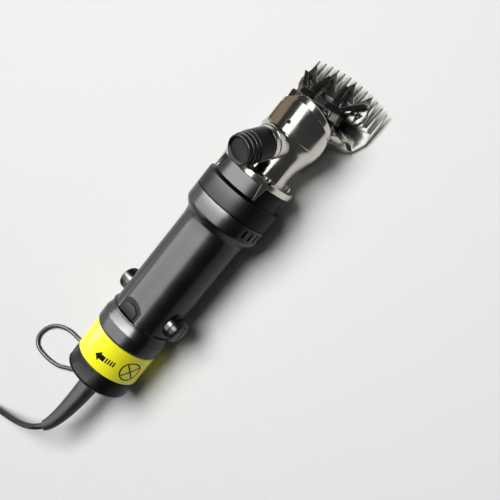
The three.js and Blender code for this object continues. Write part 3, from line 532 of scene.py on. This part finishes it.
# Painted shade: a thin matt black sheet over the thumb well's floor, so that the well reads dark rather than
# catching the overhead light.
well_inside = [(WELL_X + (x - WELL_X) * 0.98, y * 0.98) for x, y in well]
well_shade_sheet = cut(plate(well_inside, WELL_FLOOR - 0.1, WELL_FLOOR + 0.1), switch_window())
well_shade_sheet = combined(well_shade_sheet, [rod((60, 0, 0), (90, 0, 0), 25.9, 96)], "INTERSECT")
piece("thumb_well_painted_shade", well_shade_sheet, MATT, "handpiece")
slider = plate([(68, -7.5), (73.8, -7.5), (77, -3.5), (77, 3.5), (73.8, 7.5), (68, 7.5)], 24.3, 25.4)
slider = join(slider, block(69.6, 71.4, -2.8, 2.8, 19.6, 25))
piece("slider_pad", slider, MATT, "switch", ["switch_slider"], bevel=0.15)

for side, sign in SIDES:
    brush_cap = turned([
        [22.6, 0], [22.6, 6.2], [28.9, 6.2], [28.9, 9.0], [29.7, 9.5, 0.4], [30.4, 9.5, 0.2],
        [30.7, 8.9, 0.2], [31.1, 8.9, 0.2], [31.4, 9.5, 0.2], [32.1, 9.4, 0.2], [32.4, 8.7, 0.2],
        [32.8, 8.7, 0.2], [33.1, 9.1, 0.2], [34.6, 7.9, 0.9], [35.3, 5.5, 0.6], [35.5, 0],
    ], Vector((BRUSH_X, 0, 0)), Vector((0, sign, 0)))
    slot = block(73, 87, 34.4, 37, -0.8, 0.8, about_x(0 if sign > 0 else 180))
    piece(f"brush_screw_cap_{side}", cut(brush_cap, slot), PLASTIC, "handpiece",
          [f"brush_cap_{side}"])

# ------------------------------------------------------------------ gear cover and head screws
cover = turned([
    [COVER_BACK, 29], [COVER_BACK, COVER_R, 0.4], [196.6, COVER_R, 0.5], [197.4, 31.4, 0.6],
    [198.6, 28.8, 0.6], [211.2, 28.4, 0.3], [211.2, 6.8], [206.5, 6.8], [206.5, 11.3], [193, 11.3],
    [193, 29],
], closed=True)
cover = join(cover, *lug_rods(COVER_BACK, 194, LUG_BOSS_R))
cover = cut(cover, *lug_rods(180, 213, LUG_HOLE_R), rod((190, 0, -15), (193.8, 0, -15), 1.8))
piece("cover_shell", cover, COVER, "handpiece", ["gear_cover"])
for k, (y, z) in enumerate(LUG_CENTRES, 1):
    screw_head = turned([[0, 0], [0, 2.9], [3.4, 2.9, 0.5], [3.4, 0]], Vector((215.2, y, z)), segments=32)
    screw = join(screw_head, rod((173, y, z), (215.6, y, z), 1.6, 24))
    screw = cut(screw, rod((217.2, y, z), (220, y, z), 1.5, 6))
    piece(f"screw_{k}", screw, NICKEL, "handpiece", [f"head_screw_{k}"])


# ------------------------------------------------------------------ head casting
def on_knob(profile, segments=72, closed=False):
    """Body turned about the tension knob's axis."""
    return turned(profile, KNOB_BASE, KNOB_AXIS, segments, closed)


def left_of(further):
    """Everything ahead of the hood's slanted left front, or of a face parallel to it further on."""
    slant = Matrix.Translation((264.1, 16.3, 0)) @ Matrix.Rotation(math.atan2(11.1, 17.9), 4, "Z")
    return block(further, 60, -40, 60, -40, 60, slant)


def past_left_flat(depth):
    """Everything beyond the hood's flat upper left side; depth is the flat's distance from the axis."""
    outline = [(236, depth + 6.3), (250, depth), (300, depth), (300, 60), (236, 60)]
    return plate(outline, -60, 60, about_x(LEFT_FLAT_TURN))


def comb_screw_rods(z0, z1, r, segments=32):
    """An upright rod at each of the comb's two screws."""
    places = [(COMB_SCREW_X, COMB_SCREW_Y * sign) for sign in (-1, 1)]
    return [rod((x, y, z0), (x, y, z1), r, segments) for x, y in places]


flange = turned([[FLANGE_BACK, 0], [FLANGE_BACK, 31, 0.4], [FLANGE_FRONT, 31, 1.6], [FLANGE_FRONT, 0]])
lug = [(213, -2.7), (213, 2.7), (199.4, 0.5), (199.4, -0.5)]
lugs = [plate(lug, 29.1, 31, about_x(degrees - 90)) for degrees in LUGS]
neck = loft([
    oval(215.6, -4, 20.5, 16.5), oval(220, -4.3, 19.8, 15.2), oval(224, -4.5, 19.4, 14.6),
    oval(228, -4.6, 19.7, 14.8), oval(233, -4.5, 20.6, 15.6), oval(237, -4.3, 22.2, 17.0),
    oval(241, -4, 23.8, 18.6, 0, 1.9), oval(244, -3.5, 25.3, 20.5, 0, 1.85),
    oval(246.5, -3, 26.6, 22.2, 0, 1.8), oval(248.4, -2.5, 27.2, 23.2, 0, 1.75),
    oval(249.8, -2, 27.4, 23.6, 0, 1.75), oval(252, -2, 27, 23.2, 0, 1.75),
])
neck = cut(neck, past_left_flat(HOOD_FLAT))
hood_edge = [(275.6, 24), (274.6, 20.5), (272.2, 13.5), (268, 5), (262.4, -0.8), (249.2, -7.2)]
hood = plate([(249, 34), (277, 34), *hood_edge], -40, 40, about_x(90))
barrel = loft([
    oval(250.6, -2, 27.6, 23.8, 0, 1.75), oval(251.0, -2, 28.0, 24.2, 0, 1.75),
    oval(251.4, -2, 28.1, 24.3, 0, 1.75), oval(280, -2, 28.1, 24.3, 0, 1.75),
])
barrel = cut(combined(barrel, [hood], "INTERSECT"), left_of(0), past_left_flat(HOOD_FLAT))
collar = loft([
    oval(252, -2, 24.6, 20.8), oval(259, -2, 24.6, 20.8, 0.2), oval(270.6, -2, 24.6, 20.8, 0.45),
    oval(271.4, -2, 24.4, 20.6, 0.45), oval(272, -2, 23.8, 20.0, 0.45),
])
collar = cut(collar, left_of(4.5), past_left_flat(HOOD_FLAT))
BED_LEVELS = {
    BED_FACE: [
        (232, 0), (232, 12), (240, 14.6), (252, 16), (259, 17), (262.6, 21.6), (264.8, 29.4), (268.5, 33.6),
        (272, 29.6), (275.4, 21), (276.8, 12), (277, 0),
    ],
    -28.6: [
        (232, 0), (232, 12), (240, 14.6), (252, 16), (259, 17), (262.6, 21.6), (264.8, 29.2), (268.4, 33.4),
        (271.8, 29.4), (275.2, 21), (276.6, 12), (276.8, 0),
    ],
    -25: [
        (232.4, 0), (232.4, 11.2), (240, 14), (252, 15.6), (259, 16.6), (262.6, 20.8), (264.8, 27.6),
        (267.4, 31.6), (270.8, 28.4), (274, 20.4), (275.4, 12), (275.6, 0),
    ],
    -19: [
        (234, 0), (234, 10), (241, 13.4), (252, 15.4), (259, 16.6), (262.4, 20), (264.4, 24.4), (266.4, 26.4),
        (269.2, 24.6), (271.6, 19), (272.6, 12), (273, 0),
    ],
    -11: [
        (236, 0), (236, 9), (242, 12.4), (252, 15.4), (258, 17.6), (260.4, 19), (262.4, 20.6), (263.6, 21.6),
        (264.8, 20.6), (266, 17), (266.4, 12), (266.4, 0),
    ],
}
bed = loft([[Vector((x, y, z)) for x, y in both_halves(half)] for z, half in BED_LEVELS.items()])
knob_boss = on_knob([[-12, 0], [-12, 13.4], [1.4, 13.3, 0.3], [1.8, 12.6, 0.3], [5.4, 12.2, 0.5], [5.4, 0]])
comb_bosses = comb_screw_rods(BED_FACE, -22, 4.2, 48)
chamber = loft([
    oval(216.9, -3, 15.5, 9.6, 0, 3), oval(234, -3.6, 16.4, 10.6, 0, 3), oval(240, -6, 18, 14, 0, 3),
    oval(247, -6.5, 20.2, 17.5, 0, 2.6), oval(256, -5.4, 21.6, 20.2, 0, 2.4),
    oval(292, -5.4, 21.6, 20.2, 0, 2.4),
])
chamber = cut(chamber, past_left_flat(CHAMBER_FLAT))
shaft_hole = rod((210, 0, 0), (220, 0, 0), 9.6, 48)
bush_hole = on_knob([[-5.2, 0], [-5.2, 8.3], [8, 8.3], [8, 0]])
pin_hole = on_knob([[-17, 0], [-17, 4], [2, 4], [2, 0]])
fulcrum_hole = rod((FULCRUM_X, 0, -34), (FULCRUM_X, 0, -12), 4.5)
oil_hole = rod((258.4, -4.1, 12), (258.4, -4.1, 30), 1.6)
hollows = [chamber, shaft_hole, bush_hole, pin_hole, fulcrum_hole, oil_hole]
for degrees, screw_hole in zip(LUGS, lug_rods(205, 220, LUG_HOLE_R)):
    screw_seat = block(214.8, 222, 21.8, 34, -3.4, 3.4, about_x(degrees))
    hollows += [screw_hole, screw_seat]
hollows += comb_screw_rods(-34, -23, 1.9)
head = cut(join(flange, *lugs, neck, barrel, collar, bed, knob_boss, *comb_bosses), *hollows)
piece("head", head, CAST, "handpiece", ["head_casting"], angle=35)

# ------------------------------------------------------------------ tension knob, its pin and bush
knob = on_knob([
    [5.9, 8.4], [5.9, 12.4, 0.4], [20.7, 12.5, 0.4], [21, 11.2, 0.2], [21.8, 11.2, 0.2], [22, 12.2, 0.7],
    [24.3, 12.2, 0.7], [24.5, 10.9, 0.2], [25.1, 10.9, 0.2], [25.3, 12, 0.8], [28.1, 12, 0.8], [28.5, 10.6],
    [28.5, 7.4], [26, 7.4], [26, 8.4],
], closed=True)
piece("knob_body", knob, KNOB, "knob", ["tension_knob"])
knob_end = on_knob([
    [26.6, 0], [26.6, 7.1], [28.8, 7.1], [28.8, 11.3, 0.4], [31.2, 11.3, 0.5], [31.8, 10.8, 0.3],
    [31.8, 10.2, 0.3], [31.0, 8.6, 1], [30.7, 5, 2], [30.6, 0],
])
piece("knob_end", knob_end, KNOB, "knob", ["knob_cap"])
pin = on_knob([[-15.4, 0], [-15.4, 1.4, 0.3], [-13.6, 3.5, 0.3], [22, 3.5, 0.3], [22, 0]], 32)
piece("pin", pin, STEEL, "tension", ["tension_pin"])
bush = on_knob([[-4.9, 3.9], [-4.9, 8], [11, 8, 0.4], [11, 3.9]], 48, True)
piece("bush", bush, BRASS, "handpiece", ["tension_bush"])

# ------------------------------------------------------------------ fork, feet and cutter
arm = loft([
    rect(218.6, 0, -1, 8, 6), rect(248, 0, -2.2, 8, 6.2), rect(262, 0, -7, 8, 5.6),
    rect(278, 0, -12.5, 10, 4.4),
])
yoke = loft([
    rect(273.6, 0, -12.6, 22.2, 3.4), rect(274.6, 0, -12.6, 22.8, 4.4), rect(280.4, 0, -13.2, 22.8, 4.4),
    rect(281.4, 0, -13.4, 22.2, 3.4),
])
roller_slot = block(216, 226, -4.8, 4.8, -12, 12)
fulcrum_seat = rod((FULCRUM_X, 0, -12), (FULCRUM_X, 0, -8), 4.6)
pin_seat = rod(KNOB_BASE + KNOB_AXIS * -17.4, KNOB_BASE + KNOB_AXIS * -8, 3.3)
fork = cut(join(arm, yoke), roller_slot, fulcrum_seat, pin_seat)
piece("fork", fork, BLACKENED, "fork", ["fork_body"], SWUNG, bevel=0.3)


def fork_foot(sign):
    """Forked leg on one side of the yoke, with the two pins that press on the cutter."""
    def at(x, y, z, w, h):
        return rect(x, sign * y, z, w, h)

    root = loft([at(281.8, 12.2, -13.6, 5.2, 3.8), at(286.6, 12.4, -15.4, 5.0, 3.2)])
    outer = loft([
        at(283.4, 13.6, -14.4, 2.8, 3.2), at(288.4, 19.4, -18.2, 2.3, 2.6), at(298.6, 28.6, -24.9, 1.9, 1.8),
    ])
    inner = loft([
        at(283.4, 11.4, -14.4, 2.8, 3.2), at(290, 10.4, -18.2, 2.3, 2.6), at(303.6, 8.4, -24.9, 1.7, 1.8),
    ])
    outer_pin = rod((296.8, sign * 27.0, -27.7), (296.8, sign * 27.0, -23.6), 1.3)
    inner_pin = rod((301.8, sign * 8.6, -27.7), (301.8, sign * 8.6, -23.6), 1.3)
    return join(root, outer, inner, outer_pin, inner_pin)


def fork_screw(sign):
    x, y = 278, 13.6 * sign
    profile = [[0, 0], [0, 3.0], [2, 3.0, 0.5], [2, 0]]
    screw_head = turned(profile, Vector((x, y, -7.9)), Vector((0, 0, 1)), 32)
    return cut(screw_head, rod((x, y, -6.9), (x, y, -5.6), 1.5, 6))


for side, sign in SIDES:
    piece(f"foot_{side}", fork_foot(sign), BLACKENED, "fork", [f"fork_foot_{side}"], SWUNG,
          bevel=0.3)
    piece(f"fork_cap_screw_{side}", fork_screw(sign), NICKEL, "fork", [f"fork_screw_{side}"], SWUNG)

cutter_half = [
    (282.8, 0), (282.6, 12), (281.4, 19), (281.4, 25), (283.4, 29.6), (287, 31.8), (292, 32.2), (297, 30.6),
    (305.7, 27.9), (305.9, 26.6), (301.5, 23.4), (294.6, 18.2), (301.5, 13.4), (308.6, 10.0), (309.2, 9.15),
    (308.6, 8.3), (302.5, 4.4), (295, 0),
]
blade = plate(both_halves(cutter_half), -30.7, CUTTER_TOP)
tip_slope = Matrix.Translation((294, 0, CUTTER_TOP)) @ Matrix.Rotation(math.radians(6.5), 4, "Y")
dimples = [rod((289.4, 25.7 * sign, -32), (289.4, 25.7 * sign, -26), 1.6) for sign in (-1, 1)]
blade = cut(blade, block(0, 30, -40, 40, 0, 6, tip_slope), *dimples)
piece("cutter_blade", blade, CUTTER_STEEL, "fork", ["cutter"], SWUNG, bevel=0.15)

# ------------------------------------------------------------------ comb
teeth = []
for k in range(-6, 7):
    y = 6.1 * k
    tip = 311.8 - 5 * (k / 6) ** 2
    root_half = min(1.75, COMB_HALF - abs(y))
    base = tip - 17.5
    teeth += [
        (base - 1.5, y - root_half), (base + 6, y - 1.35), (tip - 0.8, y - 0.5), (tip, y),
        (tip - 0.8, y + 0.5), (base + 6, y + 1.35), (base - 1.5, y + root_half),
    ]
    if k < 6:
        teeth.append((base - 2.6, y + 3.05))
comb_back = [(263.4, 16), (263.8, 22), (265.6, 28.6), (270, 34), (279, COMB_HALF)]
outline = [*[(x, -y) for x, y in comb_back], *teeth, *comb_back[::-1]]
step = [(285.6 - 4.6 * (y / COMB_HALF) ** 2, y) for y in (-COMB_HALF, -24, -12, 0, 12, 24, COMB_HALF)]
under_tips = Matrix.Translation((290, 0, COMB_UNDER)) @ Matrix.Rotation(math.radians(-5), 4, "Y")
comb = cut(
    plate(outline, COMB_UNDER, -31),
    plate([(240, -60), (281, -60), *step, (281, 60), (240, 60)], -32.2, -29),
    block(0, 40, -50, 50, -6, 0, under_tips),
    block(250, 274, -50, 50, -37, -33.7),
    *comb_screw_rods(-40, -28, 1.9),
)
piece("comb_plate", comb, COMB_STEEL, "handpiece", ["comb"], bevel=0.12)
for side, sign in SIDES:
    x, y = COMB_SCREW_X, COMB_SCREW_Y * sign
    screw = join(rod((x, y, -35), (x, y, COMB_UNDER), 3.6), rod((x, y, -34.4), (x, y, -24), 1.6))
    screw = cut(screw, block(x - 4, x + 4, y - 0.5, y + 0.5, -36, -34.6))
    piece(f"comb_clamp_screw_{side}", screw, NICKEL, "handpiece", [f"comb_screw_{side}"])

# ------------------------------------------------------------------ hanging loop and boot
LOOP_BAR_R = 1.75
LOOP_LEVEL = -25.5  # height of the loop's bar, which lies level just above the floor
EYE_CLIMB = 0.15  # rise of the bar towards the eye, for each millimetre nearer than EYE_REACH
EYE_REACH = 34
LOOP = [
    (3.2, 20), (7, 20.1), (9.6, 21.7), (9.6, 25.4), (5.8, 29.4), (0.4, 34.8), (-3.4, 42), (-4.7, 50.5),
    (-6.2, 61), (-9.8, 69.9), (-15, 77), (-22.6, 82), (-31.5, 83.6), (-38.2, 80.4), (-40.6, 73.8),
    (-40.3, 65.8), (-39.2, 58.6), (-36.2, 49), (-31.2, 41), (-24.6, 31.8), (-16, 24.6), (-7.5, 20.7),
]
loop_places = [
    Vector((x, y, LOOP_LEVEL - PITCH * x + EYE_CLIMB * max(0, EYE_REACH - y))) for x, y in LOOP
]
loop = swept(smooth_line(loop_places, 6), lambda share: LOOP_BAR_R, 16, True)
piece("loop", loop, RUBBER, "loop", ["hanging_loop"])
BOOT_ROOT = Vector((-4.8, 0, 0))
BOOT_BEND = Vector((-52, 0, 1))
BOOT_TIP = Vector((-63.6, 7.2, 3))
BOOT_R = 8.8  # at its root
BOOT_TAPER = 4.3  # how much thinner it is at its tip
boot_line = []
for k in range(41):
    t = k / 40
    boot_line.append(BOOT_ROOT * (1 - t) ** 2 + BOOT_BEND * 2 * t * (1 - t) + BOOT_TIP * t * t)
boot = swept(boot_line, lambda share: BOOT_R - BOOT_TAPER * share, 48)
piece("boot", boot, RUBBER, "handpiece", ["strain_relief"], bevel=0.5)

# ------------------------------------------------------------------ cord, laid in a neat coil behind the tool
TO_FLOOR = MM.inverted() @ TOOL_FRAME
boot_end = TO_FLOOR @ BOOT_TIP
aim = (TO_FLOOR.to_3x3() @ (BOOT_TIP - BOOT_BEND)).normalized()
lead = bezier(
    boot_end + aim * 0.9, boot_end + aim * 22, Vector((-224.8, 29.4, 6.9)), Vector((-240.5, 64.3, 3.8)), 20,
)
CENTRE = Vector((-277.6, 85.2, 0))
INNER_R = 20.8  # innermost turn of the coil
OUTER_R = 36.4  # outermost turn, where the lead comes in
LEAD_R = 42.6  # distance of the lead's end from the centre
LEAD_SLOPE = -17.6  # how fast it closes in there
TURN_STEP = 15  # degrees from one point of a turn to the next
CROSS_FROM = 290  # direction where a turn starts to cross to the next seat
CROSS_OVER = 72  # degrees that the crossing takes
SEATS = [(k if j % 2 else 3 - k, j) for j in range(4) for k in range(4)]  # each turn's column and layer


def in_coil(degrees, r, z):
    return CENTRE + Vector((*polar(degrees, r), z))


def seat(turn):
    """Radius and height of a turn of the coil."""
    column, layer = SEATS[min(turn, len(SEATS) - 1)]
    return INNER_R + D * column, D / 2 + D * layer


coil = []
for k in range(1, 6):
    t = k / 5
    from_lead = LEAD_R * (1 + 2 * t) * (1 - t) ** 2
    slant = LEAD_SLOPE * t * (1 - t) ** 2
    inward = from_lead + slant + OUTER_R * t * t * (3 - 2 * t)
    coil.append(in_coil(-29.4 + 23 * t, inward, 3.8 - 1.2 * t))
for turn in range(len(SEATS)):
    r0, z0 = seat(turn)
    r1, z1 = seat(turn + 1)
    for k in range(24 if turn + 1 < len(SEATS) else 21):
        angle = 2 + TURN_STEP * k
        t = max(0.0, (angle - CROSS_FROM) / CROSS_OVER)
        ease = t * t * (3 - 2 * t)
        coil.append(in_coil(angle, r0 + (r1 - r0) * ease, z0 + (z1 - z0) * ease))
PLUG_AT = CENTRE + Vector((17.9, 22, 28))
entry = PLUG_AT + Vector((4.4, 0, 0))
heading = (coil[-1] - coil[-2]).normalized()
tail = bezier(coil[-1], coil[-1] + heading * 24, entry + Vector((24, 0, 0)), entry, 14)[1:]
line = bpy.data.curves.new("cord", "CURVE")
line.dimensions = "3D"
line.bevel_depth = D / 2 * 0.001
line.bevel_resolution = 5
line.use_fill_caps = True
spline = line.splines.new("POLY")
route = lead + coil + tail
spline.points.add(len(route) - 1)
for point, p in zip(spline.points, route):
    point.co = (*(p * 0.001), 1)
line.materials.append(CORD_SHEATH)
cord = bpy.data.objects.new("cord", line)
bpy.context.scene.collection.objects.link(cord)
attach(cord, "handpiece")
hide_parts("cord_tube", "cord_coil")

PLUG_FRAME = MM @ Matrix.Translation(PLUG_AT) @ Matrix.Rotation(math.pi, 4, "Z")
plug_half = [(-4, 0), (-4, 3.4), (6, 4.6), (12, 8.6), (18, 12.4), (36, 13), (37, 12), (37, 0)]
plug_body = plate(both_halves(plug_half), -6.8, 6.8)
grips = [
    block(x, x + 1.2, sign * 13.4 - 0.8, sign * 13.4 + 0.8, -5, 5)
    for x in (20, 23, 26, 29) for sign in (-1, 1)
]
plug = piece("plug", cut(plug_body, *grips), COVER, "handpiece", ["plug_body"], PLUG_FRAME,
             bevel=0.9)
for side, sign in SIDES:
    pin = turned([[0, 0], [0, 2], [18.2, 2, 0.4], [19, 1.4, 0.3], [19, 0]], Vector((37.3, 9.3 * sign, 0)),
                 segments=32)
    piece(f"pin_{side}", pin, NICKEL, "handpiece", [f"plug_pin_{side}"], PLUG_FRAME)

# ------------------------------------------------------------------ pieces out of sight keep CAD bodies
INSIDE = {
    NYLON: ["switch_body", "cooling_fan", "rear_bearing_bracket"],
    BRASS: ["brush_holder_left", "brush_holder_right", "crank_roller"],
    CARBON: ["carbon_brush_left", "carbon_brush_right"],
    LAMINATION: ["stator_core", "armature_core"],
    COPPER: ["field_coil_upper", "field_coil_lower", "winding_front", "winding_rear", "commutator"],
    STEEL: ["motor_shaft", "rear_bearing", "front_bearing", "pinion", "idler_gear", "idler_pin",
            "output_gear", "crankshaft", "crank_bearing", "fulcrum_post"],
    CAST: ["bearing_plate"],
}
for finish, names in INSIDE.items():
    for name in names:
        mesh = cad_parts[name].data
        mesh.materials.clear()
        mesh.materials.append(finish)

# ------------------------------------------------------------------ floor and light
FLOOR_HALF = 3
floor = bpy.data.objects.new("floor", bpy.data.meshes.new("floor"))
corners = [(x * FLOOR_HALF, y * FLOOR_HALF, 0) for x, y in ((-1, -1), (1, -1), (1, 1), (-1, 1))]
floor.data.from_pydata(corners, [], [(0, 1, 2, 3)])
PALE = material("pale_floor", (0.80, 0.80, 0.79), 0.7, grain=300, depth=0.02, mottle=0.02)
floor.data.materials.append(PALE)
bpy.context.scene.collection.objects.link(floor)

world = bpy.data.worlds.new("studio")
bpy.context.scene.world = world
world.use_nodes = True
world.node_tree.nodes["Background"].inputs["Color"].default_value = (0.9, 0.95, 1.0, 1)
world.node_tree.nodes["Background"].inputs["Strength"].default_value = 0.05


def softbox(name, centre, target, size, radiance, receivers, colour=(1, 1, 1), sheen_only=False):
    """Rectangular soft light of a given brightness that lights only the listed pieces."""
    light = bpy.data.lights.new(name, "AREA")
    light.shape = "RECTANGLE"
    light.size, light.size_y = size
    light.energy = radiance * math.pi * size[0] * size[1]
    light.color = colour
    made = bpy.data.objects.new(name, light)
    bpy.context.scene.collection.objects.link(made)
    away = Vector(centre) - Vector(target)
    made.matrix_world = Matrix.Translation(centre) @ away.to_track_quat("Z", "Y").to_matrix().to_4x4()
    group = bpy.data.collections.new(name + "_lit")
    for o in receivers:
        group.objects.link(o)
    made.light_linking.receiver_collection = group
    made.visible_diffuse = not sheen_only
    return made


METALS = (CAST, COMB_STEEL, CUTTER_STEEL, NICKEL, STEEL, BRASS, BLACKENED)
label = [o for o in SHOWN if o.data.materials[0] in (YELLOW, INK)]
casting = [o for o in SHOWN if o.data.materials[0] is CAST]
bright = [o for o in SHOWN if o.data.materials[0] in METALS and o not in casting]
plastic = [o for o in SHOWN if o.data.materials[0] not in METALS and o not in label] + [cord]
softbox("floor_light", (0.3, 0.6, 2.2), (0, 0, 0), (1.6, 1.6), 7.8, [floor])
softbox("overhead", (-0.45, 0.55, 0.8), (-0.45, 0.55, 0), (0.8, 1.9), 8.0, plastic, sheen_only=True)
softbox("overhead_edge", (-0.45, -0.22, 0.8), (-0.45, -0.22, 0), (0.8, 0.36), 9.0, plastic, sheen_only=True)
softbox("front_panel", (0.15, 0.5, 0.8), (0.15, 0.5, 0), (0.34, 2.0), 60.0, plastic, sheen_only=True)
softbox("side_wall", (-0.3, 1.5, 0.5), (-0.3, 0, 0.5), (1.6, 1.0), 1.6, plastic, sheen_only=True)
softbox("rear_wall", (-1.3, 0.9, 0.5), (0, 0, 0), (0.8, 0.6), 3.0, plastic, sheen_only=True)
label_light = softbox("label_light", (-0.1, 0.35, 1.0), (-0.09, 0, 0), (0.8, 0.8), 9.0, label)
label_light.visible_glossy = False
softbox("label_sheen", (-0.1, 1.3, 0.8), (-0.1, 0, 0), (1.2, 0.9), 14.0, label, sheen_only=True)
softbox("strip_cast", (-0.15, -0.12, 0.9), (-0.15, -0.12, 0), (1.4, 0.36), 2.4, casting)
softbox("strip_bright", (-0.15, 0.09, 0.9), (-0.15, 0.09, 0), (1.4, 0.18), 3.0, bright)
softbox("warm_side", (-0.2, 1.0, 0.6), (0.1, 0, 0), (1.4, 0.8), 0.3, casting + bright, (1, 0.75, 0.5))

scene = bpy.context.scene
scene.view_settings.view_transform = "Standard"
scene.view_settings.look = "None"
